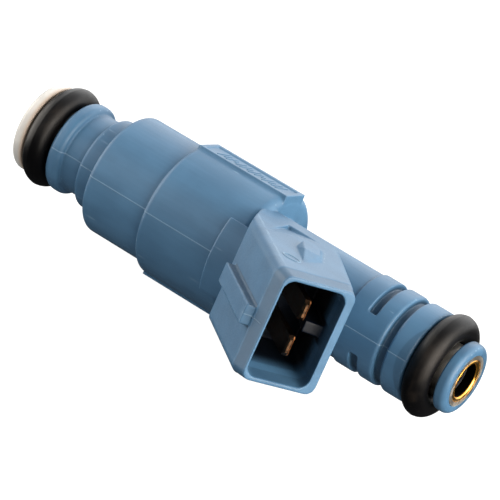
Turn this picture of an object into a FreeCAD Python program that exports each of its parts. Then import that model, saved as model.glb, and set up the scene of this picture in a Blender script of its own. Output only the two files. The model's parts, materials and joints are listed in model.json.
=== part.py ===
import FreeCAD, Part
import math
import os
import re

import Sketcher
from FreeCAD import Placement, Rotation, Vector

# Solenoid fuel injector, lying on its side, in millimetres.
# +X runs along the injector's axis from the spray nozzle to the fuel inlet, with
# x = 0 at the middle of the manifold O-ring. The electrical socket points to -Y and
# leans towards +X. +Z is square to the parting plane of the plastic body (z = 0).

SIZES = [
    # O-rings, both of one standard size
    ("ring_bore", 7.52), ("ring_section", 3.53), ("ring_spacing", 63.6),
    # white cap round the nozzle
    ("cap_front", -3.6), ("cap_back", -1.85), ("cap_radius", 6.4), ("cap_mouth_radius", 2.4),
    ("cap_edge", 0.8),
    # plastic body, outside: stations along the axis and radii
    ("flange_front", 2.3), ("flange_back", 4.5), ("flange_radius", 6.55), ("flange_edge", 0.8),
    ("neck_radius", 5.7), ("collar_front", 7.6), ("collar_radius", 6.6), ("collar_edge", 0.5),
    ("waist_front", 10.6), ("waist_radius", 8.65), ("step_edge", 0.7),
    ("barrel_front", 20.6), ("barrel_back", 35.4), ("barrel_radius", 9.58), ("shoulder_edge", 1.4),
    ("stem_radius", 6.24), ("clip_front", 51.1), ("clip_radius", 6.48), ("clip_edge", 0.45),
    ("clip_slot_front", 53.75), ("clip_slot_width", 1.25), ("clip_slot_floor", 5.6),
    ("clip_slot_angle", 125.0),
    ("groove_front", 57.45), ("groove_back", 58.55), ("groove_radius", 5.5),
    ("body_back", 61.8),
    # flat name pads on both sides, with a raised frame
    ("pad_half_width", 2.55), ("pad_front", 20.65), ("pad_back", 35.35),
    ("pad_height", 9.63), ("pad_floor", 9.42), ("pad_frame", 0.7),
    # saddle under the socket
    ("saddle_front", 32.3), ("saddle_back", 38.0), ("saddle_radius", 10.5),
    ("saddle_angle", 60.0),
    # socket: plan view corners, in the parting plane
    ("heel_x", 36.7), ("heel_y", -12.2), ("lip_x", 48.07), ("lip_y", -24.31),
    ("brow_x", 54.65), ("brow_y", -14.57), ("throat_x", 46.13), ("throat_y", -3.74),
    ("root_x", 34.6), ("root_y", -6.4), ("root_back_y", -3.4),
    ("socket_half_height", 7.5), ("socket_corner", 1.3),
    ("socket_wall", 1.45), ("cavity_half_height", 5.9), ("cavity_depth", 11.5),
    ("cavity_corner", 1.1),
    ("lug_half_width", 1.35), ("lug_height", 1.3), ("lug_start", 1.6), ("lug_end", 0.4),
    ("key_half_width", 0.8), ("key_height", 2.4), ("key_below_mouth", 1.37),
    # tapered nose of the socket and the funnel in its mouth, measured from the lip
    ("nose_length", 2.35), ("nose_inset", 0.05), ("nose_low", 0.5), ("nose_high", 11.05),
    ("nose_half", 7.2), ("nose_corner", 1.2), ("funnel_low", 0.75), ("funnel_high", 9.85),
    ("funnel_half", 6.68), ("funnel_corner", 1.5), ("funnel_depth", 2.4),
    ("funnel_end_low", 2.05), ("funnel_end_high", 10.99), ("funnel_end_half", 5.69),
    ("funnel_end_corner", 1.0),
    # metal core
    ("housing_front", -2.3), ("housing_lip_radius", 1.6), ("housing_bore", 2.6),
    ("seal_seat_radius", 3.76), ("housing_step", 9.6), ("core_radius", 4.9),
    ("housing_shoulder", 10.5), ("armature_bore", 4.1), ("housing_back", 16.5),
    ("pole_face", 20.51), ("tube_step", 31.5), ("tube_neck_radius", 3.65), ("rim_front", 65.9),
    ("tube_back", 67.67), ("tube_bore", 1.9), ("filter_bore", 3.07), ("filter_seat", 51.0),
    # blue rim round the inlet
    ("rim_radius", 4.95), ("rim_edge", 0.8), ("rim_front_edge", 0.35),
    # magnetic circuit and coil
    ("pot_front", 12.0), ("pot_back", 31.0), ("pot_radius", 7.4), ("pot_bore", 6.6),
    ("pot_floor", 1.2), ("washer_thickness", 1.2), ("washer_gap_half", 4.3),
    ("washer_gap_top", -4.3),
    ("bobbin_front", 13.4), ("bobbin_back", 29.6), ("bobbin_bore", 4.95), ("bobbin_hub", 5.25),
    ("bobbin_flange", 6.5), ("bobbin_flange_width", 0.8), ("winding_radius", 6.3),
    # moving valve
    ("armature_radius", 4.03), ("armature_front", 12.0), ("armature_back", 20.4),
    ("spring_pocket", 2.0), ("spring_pocket_radius", 1.9), ("needle_radius", 1.25),
    ("needle_bore", 0.75), ("needle_end", 14.6), ("ball_radius", 1.75), ("ball_x", 0.6),
    ("fuel_hole_radius", 0.55), ("fuel_hole_x", 9.4),
    # guide, seat and spray plate
    ("guide_thickness", 0.8), ("guide_bore", 1.32), ("guide_port_circle", 1.95),
    ("guide_port_radius", 0.45), ("guide_port_count", 6), ("fuel_ports_x", 10.9),
    ("seat_front", -1.75), ("seat_back", 1.6), ("seat_guide_bore", 1.8), ("seat_hole", 0.4),
    ("seat_gap", 0.02), ("plate_thickness", 0.2), ("spray_hole_radius", 0.1),
    ("spray_circle", 0.22), ("spray_hole_count", 4), ("spray_holes_x", -1.85),
    # spring and its adjuster
    ("spring_wire", 0.6), ("spring_radius", 1.45), ("spring_turns", 8), ("adjuster_front", 31.0),
    ("adjuster_back", 41.0), ("adjuster_bore", 1.1), ("adjuster_slit", 0.5),
    # inlet filter
    ("filter_sleeve_front", 64.3), ("filter_sleeve_bore", 2.4), ("cage_front", 52.0),
    ("cage_back", 66.2), ("cage_radius", 2.38), ("cage_wall", 0.5), ("cage_ring", 1.6),
    ("cage_windows", 4), ("cage_window_half", 1.15), ("mesh_wall", 0.12),
    # terminals and their carrier
    ("blade_half_thickness", 0.4), ("blade_half_width", 1.4), ("blade_pitch", 5.0),
    ("blade_foot_x", 31.3), ("blade_foot_y", -5.75), ("blade_bend_x", 38.9),
    ("blade_bend_y", -5.75),
    ("blade_tip_x", 51.6), ("blade_tip_y", -18.8), ("blade_corner", 0.5), ("blade_point", 0.25),
    ("carrier_front", 33.2), ("carrier_back", 37.5), ("carrier_half_width", 4.2),
    ("carrier_thickness", 2.2), ("lead_radius", 0.2), ("lead_front", 28.9), ("lead_back", 33.0),
    ("lead_pitch", 3.8),
    # how far an added shape starts inside the body, and how far a cutter runs past it
    ("overlap", 0.3), ("beyond", 1.0),
]

FULL_TURN = 360.0
CLOSE = 0.01

doc = FreeCAD.newDocument("fuel_injector")
sheet = doc.addObject("Spreadsheet::Sheet", "sizes")
for row, (name, value) in enumerate(SIZES, start=1):
    sheet.set("A%d" % row, name)
    sheet.set("B%d" % row, str(value))
    sheet.setAlias("B%d" % row, name)
doc.recompute()


def bound(text):
    """Turn a formula in size names into an expression that reads the sheet."""
    return re.sub(r"\b([a-z][a-z_]*)\b(?!\()", r"sizes.\1", text)


def size(text):
    """Value of a formula in size names."""
    return float(sheet.evalExpression(text))


def new_body(label):
    body = doc.addObject("PartDesign::Body", label)
    body.Label = label
    return body


def sketch_on(body, role, name):
    """Empty sketch on one of the body's own origin planes."""
    plane = next(item for item in body.Origin.OriginFeatures if item.Role == role)
    sketch = body.newObject("Sketcher::SketchObject", name)
    sketch.AttachmentSupport = [(plane, "")]
    sketch.MapMode = "FlatFace"
    return sketch


def pin_point(sketch, geometry, corner, text, direction, axis):
    """Hold one coordinate of a sketch point at a formula."""
    value = size(text)
    if abs(value) < 1e-9:
        sketch.addConstraint(Sketcher.Constraint("PointOnObject", geometry, corner, axis))
        return
    index = sketch.addConstraint(
        Sketcher.Constraint(direction, -1, 1, geometry, corner, value))
    sketch.setExpression("Constraints[%d]" % index, bound(text))


def closed_outline(sketch, points):
    """Closed polygon whose corners are (formula, formula)."""
    first = sketch.GeometryCount
    places = [Vector(size(x), size(y), 0) for x, y in points]
    count = len(points)
    for i in range(count):
        sketch.addGeometry(Part.LineSegment(places[i], places[(i + 1) % count]), False)
    for i in range(count):
        following = first + (i + 1) % count
        sketch.addConstraint(Sketcher.Constraint("Coincident", first + i, 2, following, 1))
    for i, (x, y) in enumerate(points):
        pin_point(sketch, first + i, 1, x, "DistanceX", -2)
        pin_point(sketch, first + i, 1, y, "DistanceY", -1)


def circle(sketch, x, y, radius):
    """Circle whose centre and radius are formulas."""
    index = sketch.addGeometry(
        Part.Circle(Vector(size(x), size(y), 0), Vector(0, 0, 1), size(radius)), False)
    pin_point(sketch, index, 3, x, "DistanceX", -2)
    pin_point(sketch, index, 3, y, "DistanceY", -1)
    held = sketch.addConstraint(Sketcher.Constraint("Radius", index, size(radius)))
    sketch.setExpression("Constraints[%d]" % held, bound(radius))


def turn(body, name, points, kind="Revolution", angle=None, plane="XY_Plane"):
    """Revolve a profile of (station, radius) corners about the X axis."""
    sketch = sketch_on(body, plane, name + "_profile")
    closed_outline(sketch, points)
    feature = body.newObject("PartDesign::" + kind, name)
    feature.Profile = sketch
    feature.ReferenceAxis = (sketch, ["H_Axis"])
    if angle is None:
        feature.Angle = FULL_TURN
    else:
        feature.Midplane = True
        feature.setExpression("Angle", bound(angle))
    doc.recompute()
    return feature


def extrude(body, name, outlines, length, kind="Pad", plane="XY_Plane", holes=(), lift=None):
    """Pad or pocket polygons and circles to both sides of a plane, lifted if asked."""
    before = body.Tip.Shape.Volume if body.Tip else 0.0
    sketch = sketch_on(body, plane, name + "_profile")
    if lift:
        sketch.setExpression("AttachmentOffset.Base.z", bound(lift))
    for points in outlines:
        closed_outline(sketch, points)
    for x, y, radius in holes:
        circle(sketch, x, y, radius)
    feature = body.newObject("PartDesign::" + kind, name)
    feature.Profile = sketch
    feature.Midplane = True
    feature.setExpression("Length", bound(length))
    doc.recompute()
    changed = feature.Shape.Volume - before
    if (changed > 0) != (kind == "Pad"):
        raise RuntimeError("%s changed the volume by %.3f" % (name, changed))
    return feature


def dress(body, name, kind, length_name, wanted):
    """Fillet or chamfer the edges of the body for which wanted(edge) is true."""
    base = body.Tip
    edges = ["Edge%d" % (i + 1) for i, edge in enumerate(base.Shape.Edges) if wanted(edge)]
    if not edges:
        raise RuntimeError("%s found no edges" % name)
    feature = body.newObject("PartDesign::" + kind, name)
    feature.Base = (base, edges)
    feature.setExpression("Radius" if kind == "Fillet" else "Size", bound(length_name))
    doc.recompute()
    return feature


def rim_at(*rims):
    """Test for whole circles about the axis at any of the (station, radius) pairs."""
    places = [(size(x), size(r)) for x, r in rims]

    def wanted(edge):
        curve = edge.Curve
        if not isinstance(curve, Part.Circle):
            return False
        return any(abs(curve.Center.x - x) < CLOSE and abs(curve.Radius - r) < CLOSE
                   and math.hypot(curve.Center.y, curve.Center.z) < CLOSE
                   for x, r in places)
    return wanted


def tube(label, front, back, outer, inner):
    """Plain ring about the axis."""
    body = new_body(label)
    turn(body, label + "_ring", [(front, inner), (front, outer), (back, outer), (back, inner)])
    return body


def plan_offset(point, start, toward, forward="0", sideways="0"):
    """Move a plan point along the line start-toward, and to the right of it."""
    x, y = point
    run_x = "(%s_x-%s_x)" % (toward, start)
    run_y = "(%s_y-%s_y)" % (toward, start)
    span = "sqrt(%s^2+%s^2)" % (run_x, run_y)
    return ("%s+(%s*(%s)+%s*(%s))/%s" % (x, run_x, forward, run_y, sideways, span),
            "%s+(%s*(%s)-%s*(%s))/%s" % (y, run_y, forward, run_x, sideways, span))


def is_line_along(edge, start, toward):
    """True for a straight edge parallel to the plan line between two named points."""
    if not isinstance(edge.Curve, Part.Line):
        return False
    run = Vector(size("%s_x-%s_x" % (toward, start)), size("%s_y-%s_y" % (toward, start)), 0)
    return edge.Curve.Direction.cross(run.normalize()).Length < CLOSE


def rectangle(low_x, high_x, low_y, high_y):
    return [(low_x, low_y), (high_x, low_y), (high_x, high_y), (low_x, high_y)]


def mouth_sketch(body, name, depth):
    """Sketch square to the socket's mouth: x from lip to brow, y up, depth outwards."""
    sketch = sketch_on(body, "XZ_Plane", name)
    run_x, run_y = "(brow_x-lip_x)", "(brow_y-lip_y)"
    span = "sqrt(%s^2+%s^2)" % (run_x, run_y)
    turned = "atan2(%s; %s)" % (run_y, run_x)
    sketch.AttachmentOffset = Placement(Vector(), Rotation(Vector(0, 1, 0), size(turned)))
    sketch.setExpression("AttachmentOffset.Rotation.Angle", bound(turned))
    sketch.setExpression("AttachmentOffset.Base.x", bound(
        "lip_x+%s*(%s)/%s" % (run_y, depth, span)))
    sketch.setExpression("AttachmentOffset.Base.z", bound(
        "-lip_y+%s*(%s)/%s" % (run_x, depth, span)))
    return sketch


def rounded_rectangle(sketch, low, high, half, corner):
    """Rectangle with round corners, half to each side of the sketch's x axis."""
    left, right = "%s+%s" % (low, corner), "%s-%s" % (high, corner)
    top, bottom = "%s-%s" % (half, corner), "%s-(%s)" % (corner, half)
    centres = [(right, top), (left, top), (left, bottom), (right, bottom)]
    quarter = math.pi/2
    for i, (x, y) in enumerate(centres):
        round_corner = Part.Circle(Vector(size(x), size(y), 0), Vector(0, 0, 1), size(corner))
        sketch.addGeometry(
            Part.ArcOfCircle(round_corner, i*quarter, (i + 1)*quarter), False)
    arcs = sketch.Geometry
    for i in range(4):
        sketch.addGeometry(
            Part.LineSegment(arcs[i].EndPoint, arcs[(i + 1) % 4].StartPoint), False)
    for i in range(4):
        side = 4 + i
        sketch.addConstraint(Sketcher.Constraint("Tangent", i, 2, side, 1))
        sketch.addConstraint(Sketcher.Constraint("Tangent", side, 2, (i + 1) % 4, 1))
    held = sketch.addConstraint(Sketcher.Constraint("Radius", 0, size(corner)))
    sketch.setExpression("Constraints[%d]" % held, bound(corner))
    for i, (x, y) in enumerate(centres):
        if i > 0:
            sketch.addConstraint(Sketcher.Constraint("Equal", 0, i))
        pin_point(sketch, i, 3, x, "DistanceX", -2)
        pin_point(sketch, i, 3, y, "DistanceY", -1)


def loft(body, name, kind, sections):
    """Add or cut a loft between (depth, low, high, half, corner) sections in the mouth."""
    before = body.Tip.Shape.Volume
    sketches = []
    for depth, *outline in sections:
        sketch = mouth_sketch(body, "%s_section_%d" % (name, len(sketches)), depth)
        rounded_rectangle(sketch, *outline)
        sketches.append(sketch)
    feature = body.newObject("PartDesign::" + kind, name)
    feature.Profile = sketches[0]
    feature.Sections = sketches[1:]
    feature.Ruled = True
    doc.recompute()
    changed = feature.Shape.Volume - before
    if (changed > 0) != (kind == "AdditiveLoft"):
        raise RuntimeError("%s changed the volume by %.3f" % (name, changed))
    return feature


def make_plastic_body():
    """Blue moulding over the metal core, with the socket for the plug."""
    body = new_body("plastic_body")
    turn(body, "moulding", [
        ("flange_front", "seal_seat_radius"), ("flange_front", "flange_radius"),
        ("flange_back", "flange_radius"), ("flange_back", "neck_radius"),
        ("collar_front", "neck_radius"), ("collar_front", "collar_radius"),
        ("waist_front", "collar_radius"), ("waist_front", "waist_radius"),
        ("barrel_front", "waist_radius"), ("barrel_front", "barrel_radius"),
        ("barrel_back", "barrel_radius"), ("barrel_back", "stem_radius"),
        ("clip_front", "stem_radius"), ("clip_front", "clip_radius"),
        ("groove_front", "clip_radius"), ("groove_front", "groove_radius"),
        ("groove_back", "groove_radius"), ("groove_back", "clip_radius"),
        ("body_back", "clip_radius"), ("body_back", "seal_seat_radius")])
    dress(body, "round_flange", "Fillet", "flange_edge",
          rim_at(("flange_front", "flange_radius"), ("flange_back", "flange_radius")))
    dress(body, "round_collar", "Fillet", "collar_edge",
          rim_at(("collar_front", "collar_radius")))
    dress(body, "round_steps", "Fillet", "step_edge",
          rim_at(("waist_front", "waist_radius"), ("barrel_front", "barrel_radius")))
    dress(body, "round_shoulder", "Fillet", "shoulder_edge",
          rim_at(("barrel_back", "barrel_radius")))
    dress(body, "round_rings", "Fillet", "clip_edge",
          rim_at(("groove_front", "clip_radius"), ("groove_back", "clip_radius"),
                 ("body_back", "clip_radius")))
    add_socket(body)
    add_name_pads(body)
    turn(body, "core_space", [
        ("flange_front-beyond", "0"), ("flange_front-beyond", "seal_seat_radius"),
        ("housing_step", "seal_seat_radius"), ("housing_step", "core_radius"),
        ("pot_front", "core_radius"), ("pot_front", "pot_radius"),
        ("pot_back", "pot_radius"), ("pot_back", "core_radius"),
        ("tube_step", "core_radius"), ("tube_step", "seal_seat_radius"),
        ("body_back+beyond", "seal_seat_radius"), ("body_back+beyond", "0")], kind="Groove")
    open_socket(body)
    for side, start in (("upper", ""), ("lower", "-")):
        turn(body, "clip_slot_" + side, rectangle(
            "clip_slot_front", "clip_slot_front+clip_slot_width",
            start + "clip_slot_floor", start + "(clip_radius+beyond)"),
            kind="Groove", angle="clip_slot_angle", plane="XZ_Plane")
    return body


def add_socket(body):
    """Outside of the plug socket: saddle, block, tapered nose and latch lug."""
    turn(body, "saddle", rectangle(
        "saddle_front", "saddle_back", "-saddle_radius", "-stem_radius+beyond"),
        angle="saddle_angle")
    extrude(body, "socket", [[
        ("root_x", "root_y"), ("heel_x", "heel_y"), ("lip_x", "lip_y"),
        ("brow_x", "brow_y"), ("throat_x", "throat_y"), ("root_x", "root_back_y")]],
        "2*socket_half_height")
    dress(body, "round_socket", "Fillet", "socket_corner",
          lambda edge: abs(abs(edge.CenterOfMass.z) - size("socket_half_height")) < CLOSE
          and (is_line_along(edge, "heel", "lip") or is_line_along(edge, "throat", "brow")))
    span = "sqrt((brow_x-lip_x)^2+(brow_y-lip_y)^2)"
    loft(body, "nose", "AdditiveLoft", [
        ("-2*nose_inset", "nose_inset", span + "-nose_inset",
         "(socket_half_height-nose_inset)", "(socket_corner-nose_inset)"),
        ("nose_length", "nose_low", "nose_high", "nose_half", "nose_corner")])
    heel, lip = ("heel_x", "heel_y"), ("lip_x", "lip_y")
    extrude(body, "latch_lug", [[
        plan_offset(heel, "heel", "lip", "lug_start", "-overlap"),
        plan_offset(heel, "heel", "lip", "lug_start", "lug_height"),
        plan_offset(lip, "heel", "lip", "-lug_end", "lug_height"),
        plan_offset(lip, "heel", "lip", "-lug_end", "-overlap")]], "2*lug_half_width")


def open_socket(body):
    """Inside of the socket: cavity, funnel, coding key, beds for carrier and blades."""
    lip, brow = ("lip_x", "lip_y"), ("brow_x", "brow_y")
    left = plan_offset(lip, "lip", "brow", "socket_wall")
    right = plan_offset(brow, "brow", "lip", "socket_wall")
    extrude(body, "cavity", [[
        plan_offset(left, "heel", "lip", "-cavity_depth"),
        plan_offset(left, "heel", "lip", "nose_length+beyond"),
        plan_offset(right, "throat", "brow", "nose_length+beyond"),
        plan_offset(right, "throat", "brow", "-cavity_depth")]],
        "2*cavity_half_height", kind="Pocket")
    dress(body, "round_cavity", "Fillet", "cavity_corner",
          lambda edge: abs(abs(edge.CenterOfMass.z) - size("cavity_half_height")) < CLOSE
          and (is_line_along(edge, "heel", "lip") or is_line_along(edge, "throat", "brow")))
    loft(body, "funnel", "SubtractiveLoft", [
        ("nose_length+nose_inset", "funnel_low", "funnel_high", "funnel_half",
         "funnel_corner"),
        ("-funnel_depth", "funnel_end_low", "funnel_end_high", "funnel_end_half",
         "funnel_end_corner")])
    extrude(body, "coding_key", [[
        plan_offset(right, "throat", "brow", "-key_below_mouth", "-overlap"),
        plan_offset(right, "throat", "brow", "-key_below_mouth", "key_height"),
        plan_offset(right, "throat", "brow", "-cavity_depth-overlap", "key_height"),
        plan_offset(right, "throat", "brow", "-cavity_depth-overlap", "-overlap")]],
        "2*key_half_width")
    extrude(body, "carrier_bed", [carrier_outline()], "2*carrier_half_width", kind="Pocket")
    for side, sign in (("upper", ""), ("lower", "-")):
        extrude(body, "blade_bed_" + side, [blade_outline()], "2*blade_half_width",
                kind="Pocket", lift=sign + "blade_pitch/2")


def add_name_pads(body):
    """Flat pads on both sides of the barrel, sunk inside a raised frame."""
    extrude(body, "name_pads", [rectangle(
        "pad_front", "pad_back", "-pad_half_width", "pad_half_width")], "2*pad_height")
    low_x, high_x = "pad_front+pad_frame", "pad_back-pad_frame"
    extrude(body, "pad_recess", [
        rectangle(low_x, high_x, "pad_floor", "pad_height+beyond"),
        rectangle(low_x, high_x, "-pad_height-beyond", "-pad_floor")],
        "2*(pad_half_width-pad_frame)", kind="Pocket", plane="XZ_Plane")


def blade_outline():
    """Plan of a terminal blade: straight out of the coil, then up into the socket."""
    half = "blade_half_thickness"
    bend_to_tip = "sqrt((blade_tip_x-blade_bend_x)^2+(blade_tip_y-blade_foot_y)^2)"
    mitre = "%s*(%s-(blade_tip_x-blade_bend_x))/(blade_foot_y-blade_tip_y)" % (half, bend_to_tip)
    tip = ("blade_tip_x", "blade_tip_y")
    return [
        ("blade_foot_x", "blade_foot_y-" + half),
        ("blade_bend_x-" + mitre, "blade_foot_y-" + half),
        plan_offset(tip, "blade_bend", "blade_tip", "0", half),
        plan_offset(tip, "blade_bend", "blade_tip", "0", "-" + half),
        ("blade_bend_x+" + mitre, "blade_foot_y+" + half),
        ("blade_foot_x", "blade_foot_y+" + half)]


def carrier_outline():
    return rectangle("carrier_front", "carrier_back", "blade_foot_y-carrier_thickness/2",
                     "blade_foot_y+carrier_thickness/2")


def make_tip_cap():
    """White cap that snaps over the nozzle and holds the manifold O-ring."""
    body = new_body("tip_cap")
    turn(body, "cap", [
        ("cap_front", "cap_mouth_radius"), ("cap_front", "cap_radius"),
        ("cap_back", "cap_radius"), ("cap_back", "seal_seat_radius"),
        ("housing_front", "seal_seat_radius"), ("housing_front", "cap_mouth_radius")])
    dress(body, "round_cap", "Fillet", "cap_edge", rim_at(("cap_front", "cap_radius")))
    return body


def make_inlet_rim():
    """Blue rim on the inlet tube that keeps the rail O-ring from sliding off."""
    body = tube("inlet_rim", "rim_front", "tube_back", "rim_radius", "tube_neck_radius")
    dress(body, "round_rim", "Fillet", "rim_edge", rim_at(("tube_back", "rim_radius")))
    dress(body, "break_rim_front", "Fillet", "rim_front_edge",
          rim_at(("rim_front", "rim_radius")))
    return body


def make_o_ring(label, station):
    """O-ring whose bore just touches its seat."""
    ring = doc.addObject("Part::Torus", label)
    ring.Label = label
    ring.setExpression("Radius1", bound("(ring_bore+ring_section)/2"))
    ring.setExpression("Radius2", bound("ring_section/2"))
    ring.Placement = Placement(Vector(size(station), 0, 0), Rotation(Vector(0, 1, 0), 90))
    ring.setExpression("Placement.Base.x", bound(station))
    return ring


def make_valve_body():
    """Steel nozzle housing: seat carrier in front, armature guide behind."""
    body = new_body("valve_body")
    turn(body, "housing", [
        ("housing_front", "housing_lip_radius"), ("housing_front", "seal_seat_radius"),
        ("housing_step", "seal_seat_radius"), ("housing_step", "core_radius"),
        ("housing_back", "core_radius"), ("housing_back", "armature_bore"),
        ("housing_shoulder", "armature_bore"), ("housing_shoulder", "housing_bore"),
        ("seat_front-plate_thickness", "housing_bore"),
        ("seat_front-plate_thickness", "housing_lip_radius")])
    return body


def make_inlet_tube():
    """Magnetic inlet tube: pole piece in front, fuel connection behind."""
    body = new_body("inlet_tube")
    turn(body, "inlet_tube_turned", [
        ("pole_face", "tube_bore"), ("pole_face", "core_radius"),
        ("tube_step", "core_radius"), ("tube_step", "seal_seat_radius"),
        ("rim_front", "seal_seat_radius"), ("rim_front", "tube_neck_radius"),
        ("tube_back", "tube_neck_radius"), ("tube_back", "filter_bore"),
        ("filter_seat", "filter_bore"), ("filter_seat", "tube_bore")])
    return body


def make_magnet_pot():
    """Deep-drawn steel shell round the coil."""
    body = new_body("magnet_pot")
    turn(body, "pot", [
        ("pot_front", "core_radius"), ("pot_front", "pot_radius"), ("pot_back", "pot_radius"),
        ("pot_back", "pot_bore"), ("pot_front+pot_floor", "pot_bore"),
        ("pot_front+pot_floor", "core_radius")])
    return body


def make_cover_washer():
    """Steel washer behind the coil, open towards the socket for the coil's leads."""
    body = tube("cover_washer", "pot_back-washer_thickness", "pot_back", "pot_bore",
                "core_radius")
    extrude(body, "lead_gap", [rectangle(
        "pot_back-washer_thickness-beyond", "pot_back+beyond", "-pot_radius",
        "washer_gap_top")],
        "2*washer_gap_half", kind="Pocket")
    return body


def make_bobbin():
    body = new_body("coil_bobbin")
    turn(body, "reel", [
        ("bobbin_front", "bobbin_bore"), ("bobbin_front", "bobbin_flange"),
        ("bobbin_front+bobbin_flange_width", "bobbin_flange"),
        ("bobbin_front+bobbin_flange_width", "bobbin_hub"),
        ("bobbin_back-bobbin_flange_width", "bobbin_hub"),
        ("bobbin_back-bobbin_flange_width", "bobbin_flange"),
        ("bobbin_back", "bobbin_flange"), ("bobbin_back", "bobbin_bore")])
    return body


def make_coil_leads():
    """Two short wire ends from the coil to the feet of the blades."""
    body = new_body("coil_leads")
    sketch = sketch_on(body, "YZ_Plane", "lead_sections")
    for side in ("", "-"):
        circle(sketch, "blade_foot_y+blade_half_thickness+lead_radius",
               side + "lead_pitch/2", "lead_radius")
    sketch.setExpression("AttachmentOffset.Base.z", bound("lead_front"))
    feature = body.newObject("PartDesign::Pad", "leads")
    feature.Profile = sketch
    feature.AllowMultiFace = True
    feature.setExpression("Length", bound("lead_back-lead_front"))
    doc.recompute()
    return body


def make_armature():
    """Plunger that the coil lifts, with a pocket for the spring."""
    body = new_body("armature")
    pocket = "armature_back-spring_pocket"
    turn(body, "plunger", [
        ("armature_front", "needle_radius"), ("armature_front", "armature_radius"),
        ("armature_back", "armature_radius"), ("armature_back", "spring_pocket_radius"),
        (pocket, "spring_pocket_radius"), (pocket, "needle_radius")])
    return body


def make_needle():
    """Hollow stem with side holes that let the fuel out to the seat."""
    body = new_body("valve_needle")
    joint = "ball_x+sqrt(ball_radius^2-%s^2)"
    turn(body, "stem", [
        (joint % "needle_radius", "needle_radius"), ("needle_end", "needle_radius"),
        ("needle_end", "needle_bore"), (joint % "needle_bore", "needle_bore")])
    extrude(body, "fuel_holes", [], "4*needle_radius", kind="Pocket",
            holes=[("fuel_hole_x", "0", "fuel_hole_radius")])
    return body


def make_ball():
    ball = doc.addObject("Part::Sphere", "valve_ball")
    ball.Label = "valve_ball"
    ball.setExpression("Radius", bound("ball_radius"))
    ball.setExpression("Placement.Base.x", bound("ball_x"))
    return ball


def make_seat():
    """Seat with a 90 degree cone: the ball touches it 45 degrees off the axis."""
    body = new_body("valve_seat")
    cone_start = "ball_x-ball_radius*sqrt(2)-seat_gap*sqrt(2)"
    turn(body, "seat", [
        ("seat_front", "seat_hole"), ("seat_front", "housing_bore"),
        ("seat_back", "housing_bore"), ("seat_back", "seat_guide_bore"),
        (cone_start + "+seat_guide_bore", "seat_guide_bore"),
        (cone_start + "+seat_hole", "seat_hole")])
    return body


def ring_of_holes(body, name, circle_radius, hole_radius, count, depth):
    """Drill a circle of holes along the axis, starting from one and patterning it."""
    extrude(body, name + "_first", [], depth, kind="Pocket", plane="YZ_Plane",
            holes=[(circle_radius, "0", hole_radius)], lift=name + "_x")
    pattern = body.newObject("PartDesign::PolarPattern", name)
    pattern.Originals = [body.Tip]
    axis = next(item for item in body.Origin.OriginFeatures if item.Role == "X_Axis")
    pattern.Axis = (axis, [""])
    pattern.Angle = FULL_TURN
    pattern.Occurrences = int(size(count))
    pattern.setExpression("Occurrences", bound(count))
    body.Tip = pattern
    doc.recompute()


def make_orifice_plate():
    """Thin plate under the seat whose fine holes shape the spray."""
    body = new_body("orifice_plate")
    turn(body, "plate", rectangle(
        "seat_front-plate_thickness", "seat_front", "0", "housing_bore"))
    ring_of_holes(body, "spray_holes", "spray_circle", "spray_hole_radius",
                  "spray_hole_count", "4*plate_thickness")
    return body


def make_guide_ring():
    """Ring that keeps the needle on the axis and lets the fuel past."""
    body = tube("guide_ring", "housing_shoulder", "housing_shoulder+guide_thickness",
                "armature_bore", "guide_bore")
    ring_of_holes(body, "fuel_ports", "guide_port_circle", "guide_port_radius",
                  "guide_port_count", "4*guide_thickness")
    return body


def make_spring():
    """Closing spring between the armature's pocket and the adjusting sleeve."""
    body = new_body("return_spring")
    seat = "armature_back-spring_pocket+spring_wire/2"
    sketch = sketch_on(body, "XY_Plane", "wire_section")
    circle(sketch, seat, "spring_radius", "spring_wire/2")
    feature = body.newObject("PartDesign::AdditiveHelix", "coils")
    feature.Profile = sketch
    feature.ReferenceAxis = (sketch, ["H_Axis"])
    feature.Mode = "height-turns-angle"
    feature.setExpression("Height", bound(
        "adjuster_front-armature_back+spring_pocket-spring_wire"))
    feature.setExpression("Turns", bound("spring_turns"))
    doc.recompute()
    return body


def make_adjuster():
    """Slit sleeve pressed into the tube until the spring has its load."""
    body = tube("adjusting_sleeve", "adjuster_front", "adjuster_back", "tube_bore",
                "adjuster_bore")
    extrude(body, "slit", [rectangle(
        "adjuster_front-beyond", "adjuster_back+beyond", "adjuster_bore/2",
        "tube_bore+beyond")],
        "adjuster_slit", kind="Pocket")
    return body


def make_filter_cage():
    """Moulded cage of the inlet filter, with windows for the screen."""
    body = new_body("filter_cage")
    inner = "cage_radius-cage_wall"
    turn(body, "cage", [
        ("cage_front", "0"), ("cage_front", "cage_radius"), ("cage_back", "cage_radius"),
        ("cage_back", inner), ("cage_front+cage_wall", inner), ("cage_front+cage_wall", "0")])
    for plane in ("XY_Plane", "XZ_Plane"):
        extrude(body, "windows_" + plane[:2], [rectangle(
            "cage_front+2*cage_wall", "cage_back-cage_ring", "-cage_window_half",
            "cage_window_half")], "4*cage_radius", kind="Pocket", plane=plane)
    return body


def make_carrier():
    """Moulded piece that holds both blades while the body is moulded round them."""
    body = new_body("terminal_carrier")
    extrude(body, "carrier", [carrier_outline()], "2*carrier_half_width")
    for side, sign in (("upper", ""), ("lower", "-")):
        extrude(body, "slot_" + side, [blade_outline()], "2*blade_half_width",
                kind="Pocket", lift=sign + "blade_pitch/2")
    return body


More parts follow.
